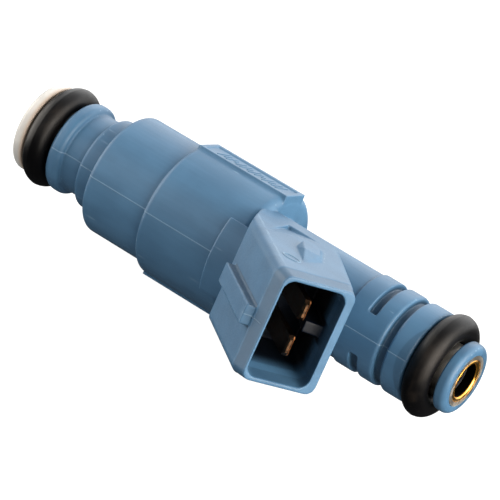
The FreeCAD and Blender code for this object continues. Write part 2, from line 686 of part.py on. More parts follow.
def make_terminal(side, sign):
    body = new_body("terminal_" + side)
    extrude(body, "blade_" + side, [blade_outline()], "2*blade_half_width",
            lift=sign + "blade_pitch/2")
    at_tip = size("blade_tip_y+beyond")
    dress(body, "blade_corners_" + side, "Chamfer", "blade_corner",
          lambda edge: edge.BoundBox.YMax < at_tip and edge.BoundBox.ZLength < CLOSE)
    dress(body, "blade_point_" + side, "Chamfer", "blade_point",
          lambda edge: edge.BoundBox.YMax < at_tip
          and edge.BoundBox.ZLength > size("blade_half_width"))
    return body


def make_all():
    return [
        make_plastic_body(), make_tip_cap(), make_inlet_rim(),
        make_o_ring("manifold_oring", "0"), make_o_ring("rail_oring", "ring_spacing"),
        make_valve_body(), make_inlet_tube(),
        tube("nonmagnetic_sleeve", "housing_back", "pole_face", "core_radius",
             "armature_bore"),
        make_magnet_pot(), make_cover_washer(), make_bobbin(),
        tube("coil_winding", "bobbin_front+bobbin_flange_width",
             "bobbin_back-bobbin_flange_width", "winding_radius", "bobbin_hub"),
        make_coil_leads(), make_carrier(), make_terminal("upper", ""),
        make_terminal("lower", "-"), make_armature(), make_needle(), make_ball(),
        make_seat(), make_orifice_plate(), make_guide_ring(), make_spring(), make_adjuster(),
        tube("filter_sleeve", "filter_sleeve_front", "tube_back", "filter_bore",
             "filter_sleeve_bore"),
        make_filter_cage(),
        tube("filter_mesh", "cage_front+cage_wall", "cage_back-cage_ring",
             "cage_radius-cage_wall", "cage_radius-cage_wall-mesh_wall")]


def check_and_write(parts):
    """Stop on anything failed, null or invalid, then write one STEP file per part."""
    doc.recompute()
    for item in doc.Objects:
        if "Invalid" in item.State or "Error" in item.State:
            raise RuntimeError("%s: %s" % (item.Name, item.State))
    for part in parts:
        if part.Shape.isNull() or not part.Shape.isValid() or not part.Shape.Solids:
            raise RuntimeError("%s has no valid solid" % part.Label)
    os.makedirs("parts", exist_ok=True)
    for part in parts:
        part.Shape.exportStep("parts/%s.step" % part.Label)
        print("%-20s %2d solid  %9.3f mm3" % (
            part.Label, len(part.Shape.Solids), part.Shape.Volume))


check_and_write(make_all())
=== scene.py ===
import json
import math

import bmesh
import bpy
from mathutils import Matrix, Vector


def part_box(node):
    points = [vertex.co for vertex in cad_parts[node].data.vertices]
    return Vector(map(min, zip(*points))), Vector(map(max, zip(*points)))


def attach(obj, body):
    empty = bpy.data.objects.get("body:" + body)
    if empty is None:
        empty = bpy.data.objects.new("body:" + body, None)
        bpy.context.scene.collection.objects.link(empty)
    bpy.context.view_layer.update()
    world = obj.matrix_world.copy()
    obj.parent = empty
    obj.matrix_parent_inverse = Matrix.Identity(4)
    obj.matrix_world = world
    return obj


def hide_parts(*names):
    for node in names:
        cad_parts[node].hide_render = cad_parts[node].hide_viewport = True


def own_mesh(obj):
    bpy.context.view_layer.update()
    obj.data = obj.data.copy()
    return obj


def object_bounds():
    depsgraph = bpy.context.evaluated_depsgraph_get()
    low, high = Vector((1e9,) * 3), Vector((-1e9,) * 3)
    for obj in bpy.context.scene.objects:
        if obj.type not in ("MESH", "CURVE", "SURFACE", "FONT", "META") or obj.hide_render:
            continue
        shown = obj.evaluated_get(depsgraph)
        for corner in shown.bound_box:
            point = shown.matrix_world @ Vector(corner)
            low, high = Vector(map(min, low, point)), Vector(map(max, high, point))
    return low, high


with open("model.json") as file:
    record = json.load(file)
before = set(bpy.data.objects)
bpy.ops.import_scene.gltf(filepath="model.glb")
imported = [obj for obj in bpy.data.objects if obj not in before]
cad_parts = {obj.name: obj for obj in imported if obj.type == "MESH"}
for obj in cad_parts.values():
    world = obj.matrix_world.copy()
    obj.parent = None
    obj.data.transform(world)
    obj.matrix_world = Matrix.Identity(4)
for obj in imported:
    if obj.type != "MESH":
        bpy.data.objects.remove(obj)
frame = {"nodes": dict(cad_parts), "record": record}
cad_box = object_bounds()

# Looks of a plastic fuel injector. Lengths are in millimetres until a mesh is made: +X runs
# from the nozzle to the fuel inlet, the socket stands on the -Y side and leans towards +X,
# and z = 0 is the parting plane of the plastic body.

MM = 0.001
nodes = frame["nodes"]

# Plan corners of the plug socket in the parting plane: the lip and the brow are at the two
# sides of its outer end, the heel and the throat where those sides meet the body.
LIP = Vector((48.07, -24.31))
BROW = Vector((54.65, -14.57))
HEEL = Vector((36.7, -12.2))
THROAT = Vector((46.13, -3.74))

SOCKET_TOP = 7.5     # height of its flat top over the parting plane
SOCKET_WALL = 1.45
CAVITY_HALF = 5.9    # half the height of the cavity
CAVITY_DEPTH = 11.5
KEY_HALF = 1.5       # height either side of the parting plane that holds the coding key
NOSE_LENGTH = 2.35   # tapered end beyond the lip
LUG_END, LUG_START = 0.4, 14.6   # how far in from the lip the lug begins and ends
PAD_FLOOR = 9.42     # height of a name pad's floor over the parting plane

# across the mouth, and out of the socket through it
ACROSS = (BROW - LIP).normalized()
OUT = Vector((ACROSS.y, -ACROSS.x))
SPAN = (BROW - LIP).length


def lean(start, end):
    """How far a side wall shifts across the mouth for each millimetre outwards."""
    run = (end - start).normalized()
    return run.dot(ACROSS)/run.dot(OUT)


LEFT_LEAN = lean(HEEL, LIP)
RIGHT_LEAN = lean(THROAT, BROW)


def linear(*byte_colour):
    """Scene colour for an 8-bit display colour."""
    values = []
    for byte in byte_colour:
        share = byte/255
        values.append(share/12.92 if share <= 0.04045 else ((share + 0.055)/1.055)**2.4)
    return (*values, 1.0)


# ---------------------------------------------------------------- camera
def add_camera():
    """Long lens at the inlet side, a little above the parting plane and rolled."""
    data = bpy.data.cameras.new("camera")
    camera = bpy.data.objects.new("camera", data)
    bpy.context.scene.collection.objects.link(camera)
    right = Vector((0.7805, 0.4833, 0.3965))
    down = Vector((0.4708, -0.0372, -0.8814))
    ahead = right.cross(down).normalized()
    right = down.cross(ahead).normalized()
    place = Vector((0.2104, -0.3784, 0.1111))
    camera.matrix_world = Matrix((
        (right.x, -down.x, -ahead.x, place.x),
        (right.y, -down.y, -ahead.y, place.y),
        (right.z, -down.z, -ahead.z, place.z),
        (0, 0, 0, 1)))
    data.sensor_width = 36.0
    data.lens = 237.6
    data.clip_start = 0.01
    data.clip_end = 20.0
    bpy.context.scene.camera = camera


# ---------------------------------------------------------------- material graphs
class Graph:
    """Small helper that adds and joins the nodes of one material."""

    def __init__(self, name):
        self.material = bpy.data.materials.new(name)
        self.material.use_nodes = True
        self.tree = self.material.node_tree
        self.shader = self.tree.nodes["Principled BSDF"]
        self.place = self.add("ShaderNodeTexCoord").outputs["Object"]

    def add(self, kind, **settings):
        node = self.tree.nodes.new(kind)
        for name, value in settings.items():
            setattr(node, name, value)
        return node

    def join(self, source, target):
        self.tree.links.new(source, target)

    def feed(self, socket, value):
        """Give a socket a constant, or the output of another node."""
        if isinstance(value, bpy.types.NodeSocket):
            self.join(value, socket)
        else:
            socket.default_value = value

    def noise(self, scale, detail=2.0, roughness=0.5, stretch=None):
        """Noise with about scale features per metre, stretched along an axis if asked."""
        node = self.add("ShaderNodeTexNoise")
        place = self.place
        if stretch:
            shrink = self.add("ShaderNodeVectorMath", operation="MULTIPLY")
            self.join(self.place, shrink.inputs[0])
            shrink.inputs[1].default_value = stretch
            place = shrink.outputs[0]
        self.join(place, node.inputs["Vector"])
        node.inputs["Scale"].default_value = scale
        node.inputs["Detail"].default_value = detail
        node.inputs["Roughness"].default_value = roughness
        return node.outputs["Fac"]

    def bands(self, scale, axis="X", distortion=0.0):
        """Soft parallel bands, square to an axis."""
        node = self.add("ShaderNodeTexWave", wave_type="BANDS", bands_direction=axis)
        self.join(self.place, node.inputs["Vector"])
        node.inputs["Scale"].default_value = scale
        node.inputs["Distortion"].default_value = distortion
        node.inputs["Detail"].default_value = 1.0
        return node.outputs["Fac"]

    def mathematics(self, operation, first, second=0.0):
        node = self.add("ShaderNodeMath", operation=operation)
        self.feed(node.inputs[0], first)
        self.feed(node.inputs[1], second)
        return node.outputs[0]

    def product(self, first, *others):
        """Product of constants and outputs of nodes."""
        for other in others:
            first = self.mathematics("MULTIPLY", first, other)
        return first

    def above(self, value, level):
        """1 where the value is over a level, otherwise 0."""
        return self.mathematics("GREATER_THAN", value, level)

    def below(self, value, level):
        """1 where the value is under a level, otherwise 0."""
        return self.mathematics("LESS_THAN", value, level)

    def stretch_to(self, value, low, high, to_low=0.0, to_high=1.0):
        """Map low..high to to_low..to_high, held at both ends."""
        node = self.add("ShaderNodeMapRange", interpolation_type="SMOOTHSTEP")
        self.feed(node.inputs["Value"], value)
        node.inputs["From Min"].default_value = low
        node.inputs["From Max"].default_value = high
        node.inputs["To Min"].default_value = to_low
        node.inputs["To Max"].default_value = to_high
        return node.outputs[0]

    def mix(self, share, first, second):
        """The first colour, and the second where share is 1."""
        node = self.add("ShaderNodeMix", data_type="RGBA")
        self.feed(node.inputs["Factor"], share)
        self.feed(node.inputs[6], first)
        self.feed(node.inputs[7], second)
        return node.outputs[2]

    def along(self, direction, start):
        """Distance in metres from a plane through start, square to direction."""
        shift = self.add("ShaderNodeVectorMath", operation="SUBTRACT")
        self.join(self.place, shift.inputs[0])
        shift.inputs[1].default_value = start
        project = self.add("ShaderNodeVectorMath", operation="DOT_PRODUCT")
        self.join(shift.outputs[0], project.inputs[0])
        project.inputs[1].default_value = direction
        return project.outputs["Value"]

    def pointiness(self):
        """Over 0.5 on outer edges and under 0.5 in inner corners."""
        return self.add("ShaderNodeNewGeometry").outputs["Pointiness"]

    def bump(self, *layers):
        """Stack bump layers given as (height, strength, distance in mm)."""
        normal = None
        for height, strength, distance in layers:
            node = self.add("ShaderNodeBump")
            self.join(height, node.inputs["Height"])
            node.inputs["Strength"].default_value = strength
            node.inputs["Distance"].default_value = distance*MM
            if normal:
                self.join(normal, node.inputs["Normal"])
            normal = node.outputs["Normal"]
        self.join(normal, self.shader.inputs["Normal"])

    def finish(self, colour, roughness, metallic=0.0, **constants):
        """Fill in the shader; constants go on sockets of the same name."""
        self.feed(self.shader.inputs["Base Color"], colour)
        self.feed(self.shader.inputs["Roughness"], roughness)
        self.shader.inputs["Metallic"].default_value = metallic
        for name, value in constants.items():
            self.shader.inputs[name.replace("_", " ")].default_value = value
        return self.material


def socket_places(graph):
    """Depth in from the lip, place across the mouth and height off the parting plane."""
    lip = (LIP.x*MM, LIP.y*MM, 0)
    depth = graph.along((-OUT.x, -OUT.y, 0), lip)
    across = graph.along((ACROSS.x, ACROSS.y, 0), lip)
    height = graph.mathematics("ABSOLUTE", graph.along((0, 0, 1), (0, 0, 0)))
    return depth, across, height


def from_wall(graph, depth, across, wall_lean):
    """Distance across the mouth from a leaning side wall."""
    return graph.mathematics("ADD", across, graph.product(depth, wall_lean))


def cavity_painted_shade(graph):
    """Painted shade in the plug cavity: 0 outside it and 1 deep inside it."""
    depth, across, height = socket_places(graph)
    half_wall = SOCKET_WALL/2*MM
    below_floor = 0.5
    inside = graph.product(
        graph.above(from_wall(graph, depth, across, LEFT_LEAN), half_wall),
        graph.below(from_wall(graph, depth, across, RIGHT_LEAN), SPAN*MM - half_wall),
        graph.below(height, CAVITY_HALF*MM + half_wall),
        graph.below(depth, (CAVITY_DEPTH + below_floor)*MM))
    open_shade = graph.stretch_to(depth, 0.9*MM, 4.8*MM)
    key_shade = graph.product(graph.below(height, KEY_HALF*MM),
                              graph.stretch_to(depth, -1.2*MM, 1.8*MM))
    return graph.product(inside, graph.mathematics("MAXIMUM", open_shade, key_shade))


def groove_painted_shade(graph):
    """Painted shade on the floors of the slots and grooves near the inlet."""
    flat = graph.add("ShaderNodeVectorMath", operation="MULTIPLY")
    graph.join(graph.place, flat.inputs[0])
    flat.inputs[1].default_value = (0, 1, 1)
    radius = graph.add("ShaderNodeVectorMath", operation="LENGTH")
    graph.join(flat.outputs[0], radius.inputs[0])
    rim, floor, darkest = 6.15, 5.8, 0.38
    low = graph.stretch_to(radius.outputs["Value"], rim*MM, floor*MM, 0.0, darkest)
    station = graph.along((1, 0, 0), (0, 0, 0))
    first_slot = 50.0
    return graph.product(
        low, graph.above(station, first_slot*MM),
        graph.below(station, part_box("plastic_body")[1][0]))


def lug_painted_shade(graph):
    """Painted shade on the long sides of the lug, where they meet the wall."""
    depth, across, height = socket_places(graph)
    left = from_wall(graph, depth, across, LEFT_LEAN)
    darkest = 0.45
    return graph.product(
        graph.stretch_to(height, 1.15*MM, 1.3*MM),
        graph.stretch_to(height, 1.75*MM, 1.55*MM),
        graph.stretch_to(left, -1.25*MM, -0.9*MM),
        graph.stretch_to(left, 0.3*MM, 0.1*MM),
        graph.above(depth, LUG_END*MM),
        graph.below(depth, LUG_START*MM), darkest)


def nose_painted_shade(graph):
    """Painted shade: slightly darker colour on the tapered nose of the socket."""
    past = graph.along((OUT.x, OUT.y, 0), (LIP.x*MM, LIP.y*MM, 0))
    darkest = 0.28
    return graph.product(
        graph.stretch_to(past, 0.0, 0.25*MM),
        graph.stretch_to(past, (NOSE_LENGTH - 0.1)*MM, (NOSE_LENGTH - 0.4)*MM), darkest)


def body_plastic(name="body_plastic", lighter=0.0):
    """Satin glass-filled nylon: flow marks, fine grain, a painted highlight on outer edges
    and painted shade in inner corners, grooves, the lug's sides, the nose and the cavity.
    """
    graph = Graph(name)
    deep = linear(54, 87, 115)
    fair = linear(60, 95, 124)
    # pale colour: painted highlight on outer edges, and the paler flash ridge and socket mark
    pale_and_highlight = linear(110, 136, 156)
    # colour of the painted shade in corners, grooves, the lug's sides, the nose and the cavity
    dark = linear(7, 17, 30)
    clouds = graph.noise(140, detail=3)
    flow = graph.noise(420, detail=4, stretch=(0.25, 1, 1))
    grain = graph.noise(5200, detail=2)
    fibres = graph.noise(2600, detail=2, stretch=(0.3, 1, 1))
    blend = graph.mix(0.5, clouds, flow)
    colour = graph.mix(graph.stretch_to(blend, 0.38, 0.62), deep, fair)
    point = graph.pointiness()
    # painted highlight on outer edges
    colour = graph.mix(graph.stretch_to(point, 0.55, 0.70, 0.0, 0.55), colour, pale_and_highlight)
    # painted shade in inner corners
    colour = graph.mix(graph.stretch_to(point, 0.47, 0.36, 0.0, 0.45), colour, dark)
    colour = graph.mix(lighter, colour, pale_and_highlight)
    # painted shade on the floors of the slots and grooves near the inlet
    colour = graph.mix(groove_painted_shade(graph), colour, dark)
    # painted shade on the long sides of the lug
    colour = graph.mix(lug_painted_shade(graph), colour, dark)
    # painted shade on the tapered nose of the socket
    colour = graph.mix(nose_painted_shade(graph), colour, dark)
    # painted shade deep inside the plug cavity
    colour = graph.mix(cavity_painted_shade(graph), colour, dark)
    graph.bump((flow, 0.02, 0.03), (fibres, 0.05, 0.012), (grain, 0.15, 0.01))
    return graph.finish(
        colour, graph.stretch_to(grain, 0.3, 0.7, 0.42, 0.5), IOR=1.37)


def cap_plastic():
    """Milky white nylon with faint warm blotches."""
    graph = Graph("cap_plastic")
    blotches = graph.noise(260, detail=3)
    grain = graph.noise(4800, detail=2)
    colour = graph.mix(graph.stretch_to(blotches, 0.35, 0.65),
                       linear(172, 171, 168), linear(184, 183, 180))
    near_ring = graph.stretch_to(graph.along((1, 0, 0), (0, 0, 0)), -2.6*MM, -1.9*MM)
    colour = graph.mix(near_ring, colour, linear(170, 154, 138))
    graph.bump((blotches, 0.1, 0.05), (grain, 0.15, 0.012))
    return graph.finish(colour, graph.stretch_to(grain, 0.3, 0.7, 0.38, 0.5), IOR=1.53)


def rubber():
    """Black O-ring rubber with slightly brown patches, partly rubbed and partly a painted
    brownish sheen.
    """
    graph = Graph("seal_rubber")
    rubs = graph.noise(420, detail=4, roughness=0.6, stretch=(1, 0.5, 0.5))
    grain = graph.noise(5200, detail=2)
    dust = graph.noise(1500, detail=3)
    rubbed_and_sheen = graph.stretch_to(rubs, 0.5, 0.72)
    # brown patches: partly rubbed rubber, partly a painted brownish sheen
    colour = graph.mix(rubbed_and_sheen, linear(3, 3, 4), linear(17, 14, 12))
    colour = graph.mix(graph.stretch_to(dust, 0.68, 0.80, 0.0, 0.3),
                       colour, linear(52, 48, 43))
    roughness = graph.mathematics("ADD", graph.stretch_to(rubs, 0.4, 0.7, 0.36, 0.5),
                                  graph.stretch_to(grain, 0.3, 0.7, 0.0, 0.06))
    graph.bump((rubs, 0.12, 0.06), (grain, 0.15, 0.01))
    return graph.finish(colour, roughness, IOR=1.27)


def metal(name, dark, light, roughness, pitch=5200):
    """Turned or drawn metal: fine rings along the axis over a soft mottle."""
    graph = Graph(name)
    rings = graph.bands(pitch, "X", distortion=0.6)
    patches = graph.noise(300, detail=4)
    scuffs = graph.noise(1900, detail=4, stretch=(1, 0.4, 0.4))
    share = graph.mix(0.35, patches, rings)
    colour = graph.mix(graph.stretch_to(share, 0.3, 0.7), dark, light)
    shine = graph.stretch_to(scuffs, 0.35, 0.65, roughness*0.8, roughness*1.25)
    graph.bump((rings, 0.05, 0.02), (scuffs, 0.05, 0.02))
    return graph.finish(colour, shine, metallic=1.0)


def filter_brass():
    """Bright rolled brass at the end of the sleeve, with painted shade down its bore."""
    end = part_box("filter_sleeve")[1][0]
    graph = Graph("filter_brass")
    rings = graph.bands(4200, "X", distortion=0.6)
    scuffs = graph.noise(1900, detail=4, stretch=(1, 0.4, 0.4))
    colour = graph.mix(rings, linear(214, 150, 58), linear(250, 196, 96))
    depth = graph.along((-1, 0, 0), (end, 0, 0))
    # painted shade down the bore
    bore = graph.stretch_to(depth, 0.08*MM, 0.3*MM)
    colour = graph.mix(bore, colour, linear(7, 6, 5))
    shine = graph.mathematics("ADD", graph.stretch_to(scuffs, 0.35, 0.65, 0.2, 0.28),
                              graph.product(bore, 0.6))
    graph.bump((rings, 0.03, 0.02), (scuffs, 0.03, 0.02))
    return graph.finish(colour, shine, metallic=1.0)


def terminal_bronze():
    """Dull bronze blades with painted shade down the cavity; the bright copper strip at the
    sheared tips is partly the bare metal and partly a painted highlight.
    """
    graph = Graph("terminal_bronze")
    streaks = graph.noise(1400, detail=4, stretch=(0.5, 0.5, 1))
    patches = graph.noise(420, detail=3)
    colour = graph.mix(graph.stretch_to(streaks, 0.35, 0.65),
                       linear(52, 39, 29), linear(84, 61, 43))
    colour = graph.mix(graph.stretch_to(patches, 0.5, 0.7, 0.0, 0.6), colour,
                       linear(38, 32, 27))
    low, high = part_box("terminal_upper")
    corner = (high[0], low[1], 0)
    run = (LIP - HEEL).normalized()
    past = graph.along((run.x, run.y, 0), corner)
    side = graph.along((-run.y, run.x, 0), corner)
    # painted shade down the cavity
    shade = graph.product(cavity_painted_shade(graph), 0.5)
    colour = graph.mix(shade, colour, linear(10, 8, 8))
    # bright copper strip at the sheared tips, partly a painted highlight
    sheared_and_highlight = graph.product(graph.stretch_to(past, -0.62*MM, -0.5*MM),
                            graph.stretch_to(side, 0.2*MM, 0.26*MM))
    colour = graph.mix(sheared_and_highlight, colour, linear(240, 160, 100))
    graph.bump((streaks, 0.12, 0.02), (patches, 0.1, 0.03))
    return graph.finish(colour, graph.stretch_to(streaks, 0.3, 0.7, 0.3, 0.42), metallic=1.0)


def dark_plastic(name, deep, fair):
    """Moulded inner plastic with flow streaks and grain."""
    graph = Graph(name)
    flow = graph.noise(500, detail=4, stretch=(0.3, 1, 1))
    grain = graph.noise(4200, detail=2)
    colour = graph.mix(graph.stretch_to(flow, 0.35, 0.65), deep, fair)
    graph.bump((flow, 0.1, 0.04), (grain, 0.2, 0.015))
    roughness = 0.45
    return graph.finish(
        colour, graph.stretch_to(grain, 0.3, 0.7, roughness*0.85, roughness*1.15))


def wire(name, dark, light, pitch):
    """Wound or drawn wire: one band per turn."""
    graph = Graph(name)
    turns = graph.bands(pitch, "X")
    tint = graph.noise(700, detail=3)
    colour = graph.mix(turns, dark, light)
    colour = graph.mix(graph.stretch_to(tint, 0.4, 0.65, 0.0, 0.4), colour, dark)
    graph.bump((turns, 0.7, 0.08))
    return graph.finish(colour, graph.stretch_to(tint, 0.3, 0.7, 0.25, 0.4), metallic=0.9)


def screen():
    """Woven nylon filter screen."""
    graph = Graph("screen")
    warp = graph.bands(1500, "X")
    weft = graph.bands(1500, "DIAGONAL")
    weave = graph.mathematics("MAXIMUM", warp, weft)
    colour = graph.mix(weave, linear(26, 24, 20), linear(52, 48, 42))
    graph.bump((weave, 0.6, 0.04))
    return graph.finish(colour, graph.stretch_to(weave, 0.2, 0.8, 0.6, 0.45))


def make_materials():
    """One material for each finish in the record."""
    return {
        "body_plastic": body_plastic(),
        "cap_plastic": cap_plastic(),
        "seal_rubber": rubber(),
        "steel": metal("steel", linear(176, 172, 164), linear(214, 210, 202), 0.45),
        "stainless": metal("stainless", linear(176, 176, 178), linear(214, 214, 214), 0.22),
        "spring_steel": metal("spring_steel", linear(96, 96, 102), linear(150, 150, 154),
                              0.3, pitch=900),
        "filter_brass": filter_brass(),
        "terminal_bronze": terminal_bronze(),
        "copper": wire("copper", linear(110, 46, 20), linear(206, 118, 62), 1250),
        "bobbin_plastic": dark_plastic(
            "bobbin_plastic", linear(26, 27, 30), linear(44, 45, 49)),
        "screen": screen(),
    }


# ---------------------------------------------------------------- mesh helpers
def new_piece(name, mesh, material, node=None, body="injector"):
    """Put a finished mesh into the scene as a piece that rides on a body."""
    piece = bpy.data.objects.new(name, mesh)
    bpy.context.scene.collection.objects.link(piece)
    mesh.materials.clear()
    mesh.materials.append(material)
    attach(piece, body)
    if node:
        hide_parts(node)
    return piece


def mesh_of(name, points, faces, smooth=True):
    """Mesh from points in millimetres, with its faces turned outwards."""
    mesh = bpy.data.meshes.new(name)
    mesh.from_pydata([tuple(value*MM for value in point) for point in points], [], faces)
    work = bmesh.new()
    work.from_mesh(mesh)
    bmesh.ops.recalc_face_normals(work, faces=work.faces)
    work.to_mesh(mesh)
    work.free()
    mesh.polygons.foreach_set("use_smooth", [smooth]*len(mesh.polygons))
    return mesh


def arc(centre, radius, start, end, steps=8):
    """Points of a circular arc in (station, radius), angles in degrees."""
    points = []
    for i in range(steps + 1):
        angle = math.radians(start + (end - start)*i/steps)
        points.append((centre[0] + radius*math.cos(angle), centre[1] + radius*math.sin(angle)))
    return points


def lathe(name, profile, segments=192):
    """Closed (station, radius) profile turned about the X axis."""
    points = []
    for i in range(segments):
        angle = 2*math.pi*i/segments
        points += [(x, r*math.cos(angle), r*math.sin(angle)) for x, r in profile]
    count = len(profile)
    faces = []
    for i in range(segments):
        here, there = i*count, (i + 1) % segments*count
        for j in range(count):
            following = (j + 1) % count
            faces.append((here + j, here + following, there + following, there + j))
    return mesh_of(name, points, faces)


def hull(name, points):
    """Closed convex mesh round the points."""
    mesh = bpy.data.meshes.new(name)
    work = bmesh.new()
    for point in points:
        work.verts.new([value*MM for value in point])
    shape = bmesh.ops.convex_hull(work, input=work.verts)
    spare = [item for item in shape["geom_interior"] if isinstance(item, bmesh.types.BMVert)]
    bmesh.ops.delete(work, geom=spare, context="VERTS")
    bmesh.ops.recalc_face_normals(work, faces=work.faces)
    work.to_mesh(mesh)
    work.free()
    return mesh


def evaluated(piece):
    """Mesh of an object with its modifiers applied."""
    graph = bpy.context.evaluated_depsgraph_get()
    return bpy.data.meshes.new_from_object(piece.evaluated_get(graph))


def worked(mesh, *steps):
    """Apply modifiers, each (type, settings), to a mesh and return the result."""
    piece = bpy.data.objects.new("work", mesh)
    bpy.context.scene.collection.objects.link(piece)
    for kind, settings in steps:
        modifier = piece.modifiers.new(kind, kind)
        for name, value in settings.items():
            setattr(modifier, name, value)
    result = evaluated(piece)
    bpy.data.objects.remove(piece)
    return result


def without(mesh, cutter_mesh):
    """Mesh with a closed cutter taken away."""
    cutter = bpy.data.objects.new("cutter", cutter_mesh)
    bpy.context.scene.collection.objects.link(cutter)
    result = worked(mesh, ("BOOLEAN", {
        "operation": "DIFFERENCE", "solver": "EXACT", "object": cutter}))
    bpy.data.objects.remove(cutter)
    return result


def merged(*meshes):
    """All meshes in one, still as separate shells."""
    work = bmesh.new()
    for mesh in meshes:
        work.from_mesh(mesh)
    result = bpy.data.meshes.new("merged")
    work.to_mesh(result)
    work.free()
    return result


# ---------------------------------------------------------------- plastic body
def latch_ramp():
    """Low ramp on the top of the socket, steep towards the nozzle, for the plug's latch."""
    root = SOCKET_TOP - 0.3
    skirt = SOCKET_TOP + 0.02
    foot = [(44.36, -13.3), (46.81, -15.83), (48.13, -17.7), (48.73, -13.67),
            (46.2, -9.2), (43.6, -9.9)]
    crest = [(44.15, -11.6, 0.68), (46.2, -14.7, 0.8), (46.4, -10.6, 0.55), (47.9, -13.2, 0.5)]
    points = [(x, y, root) for x, y in foot]
    points += [(x, y, skirt) for x, y in foot]
    points += [(x, y, SOCKET_TOP + height) for x, y, height in crest]
    return hull("latch_ramp", points)


def sink_cutter():
    """Shallow three-cornered sink on the top of the socket, deepest in one corner."""
    corner, along_x, along_y = (39.1, -6.35), (44.2, -6.35), (39.6, -13.4)
    deepest = 0.55
    above = SOCKET_TOP + 1.0
    points = [(*corner, SOCKET_TOP - deepest), (*corner, above)]
    for x, y in (along_x, along_y):
        points += [(x, y, SOCKET_TOP), (x, y, above)]
    return hull("sink_cutter", points)


def body_mesh():
    """Plastic body with its details, all sharp steps melted into moulded radii."""
    shell = nodes["plastic_body"].data.copy()
    work = bmesh.new()
    work.from_mesh(shell)
    bmesh.ops.remove_doubles(work, verts=work.verts, dist=0.001*MM)
    work.to_mesh(shell)
    work.free()
    shell = without(shell, sink_cutter())
    voxel = 0.12*MM
    kept_share = 0.27
    fine = worked(merged(shell, latch_ramp()),
                  ("REMESH", {"mode": "VOXEL", "voxel_size": voxel}),
                  ("SMOOTH", {"factor": 0.5, "iterations": 3}))
    fine = worked(fine, ("DECIMATE", {"ratio": kept_share}))
    fine.polygons.foreach_set("use_smooth", [True]*len(fine.polygons))
    return fine


def outside_at_parting(x, y):
    """True where a point of the body's outline in the parting plane carries the ridge."""
    on_socket = y < -8.8 and x > 32.4
    if on_socket:
        from_lip = Vector((x, y)) - LIP
        depth, across = from_lip.dot(OUT), from_lip.dot(ACROSS)
        left = across - depth*LEFT_LEAN
        right = across - depth*RIGHT_LEAN
        on_left_wall = left < 0.25 and from_lip.length < 2.0
        on_nose = depth > -0.5 and left < 0.75
        on_right_wall = right > SPAN - 0.2
        return (on_left_wall or on_nose or on_right_wall) and depth < NOSE_LENGTH
    on_barrel = 11.8 < x < 31.2
    if on_barrel:
        return abs(y) > 8.0
    flange_front, last_ring_end = 2.4, 61.7
    return abs(y) > 5.2 and flange_front < x < last_ring_end


def crossing_chains(mesh, keep):
    """Chains of (place, outward normal) where the mesh crosses the parting plane."""
    work = bmesh.new()
    work.from_mesh(mesh)
    everything = work.verts[:] + work.edges[:] + work.faces[:]
    cut = bmesh.ops.bisect_plane(work, geom=everything, plane_co=(0, 0, 0), plane_no=(0, 0, 1))
    work.normal_update()
    edges = [item for item in cut["geom_cut"] if isinstance(item, bmesh.types.BMEdge)]
    edges = [edge for edge in edges
             if all(keep(vert.co.x/MM, vert.co.y/MM) for vert in edge.verts)]
    beside = {}
    for edge in edges:
        first, second = edge.verts
        beside.setdefault(first, []).append(second)
        beside.setdefault(second, []).append(first)
    chains, seen = [], set()
    ends = sorted((vert for vert in beside if len(beside[vert]) == 1),
                  key=lambda vert: tuple(vert.co))
    for end in ends:
        if end in seen:
            continue
        chain, here = [end], end
        seen.add(end)
        while True:
            further = [vert for vert in beside[here] if vert not in seen]
            if not further:
                break
            here = further[0]
            seen.add(here)
            chain.append(here)
        chains.append([(vert.co.copy()/MM, vert.normal.copy()) for vert in chain])
    work.free()
    shortest = 9
    return [chain for chain in chains if len(chain) >= shortest]


def spaced(chain, step=0.14):
    """Chain with even spacing and smoothed places and normals."""
    places = [place for place, _ in chain]
    normals = [Vector((normal.x, normal.y, 0)).normalized() for _, normal in chain]
    lengths = [0.0]
    for first, second in zip(places, places[1:]):
        lengths.append(lengths[-1] + (second - first).length)
    count = max(4, int(lengths[-1]/step))
    result, at = [], 0
    for i in range(count + 1):
        wanted = lengths[-1]*i/count
        while at < len(lengths) - 2 and lengths[at + 1] < wanted:
            at += 1
        share = (wanted - lengths[at])/max(1e-9, lengths[at + 1] - lengths[at])
        result.append((places[at].lerp(places[at + 1], share),
                       normals[at].lerp(normals[at + 1], share).normalized()))
    smooth = []
    for i in range(len(result)):
        window = result[max(0, i - 1):i + 2]
        place = sum((item[0] for item in window), Vector())/len(window)
        normal = sum((item[1] for item in window), Vector()).normalized()
        smooth.append((place, normal))
    return smooth


def parting_mesh(mesh):
    """Fine moulded ridge along the parting plane, sunk a little into the body."""
    proud, sunk, half = 0.055, 0.07, 0.1
    faded_steps = 3
    section = [(-half, -sunk), (-0.75*half, 0.45*proud), (0, proud), (0.75*half, 0.45*proud),
               (half, -sunk)]
    points, faces = [], []
    for chain in crossing_chains(mesh, outside_at_parting):
        start = len(points)
        path = spaced(chain)
        count = len(section)
        for number, (place, normal) in enumerate(path):
            fade = min(1.0, number/faded_steps, (len(path) - 1 - number)/faded_steps)
            for height, rise in section:
                offset = normal*(rise*fade if rise > 0 else rise)
                points.append((place.x + offset.x, place.y + offset.y, height))
        for i in range(len(path) - 1):
            for j in range(count):
                following = (j + 1) % count
                a, b = start + i*count, start + (i + 1)*count
                faces.append((a + j, a + following, b + following, b + j))
        faces.append(tuple(start + j for j in range(count)))
        last = start + (len(path) - 1)*count
        faces.append(tuple(last + j for j in range(count)))
    return mesh_of("parting_ridge", points, faces)


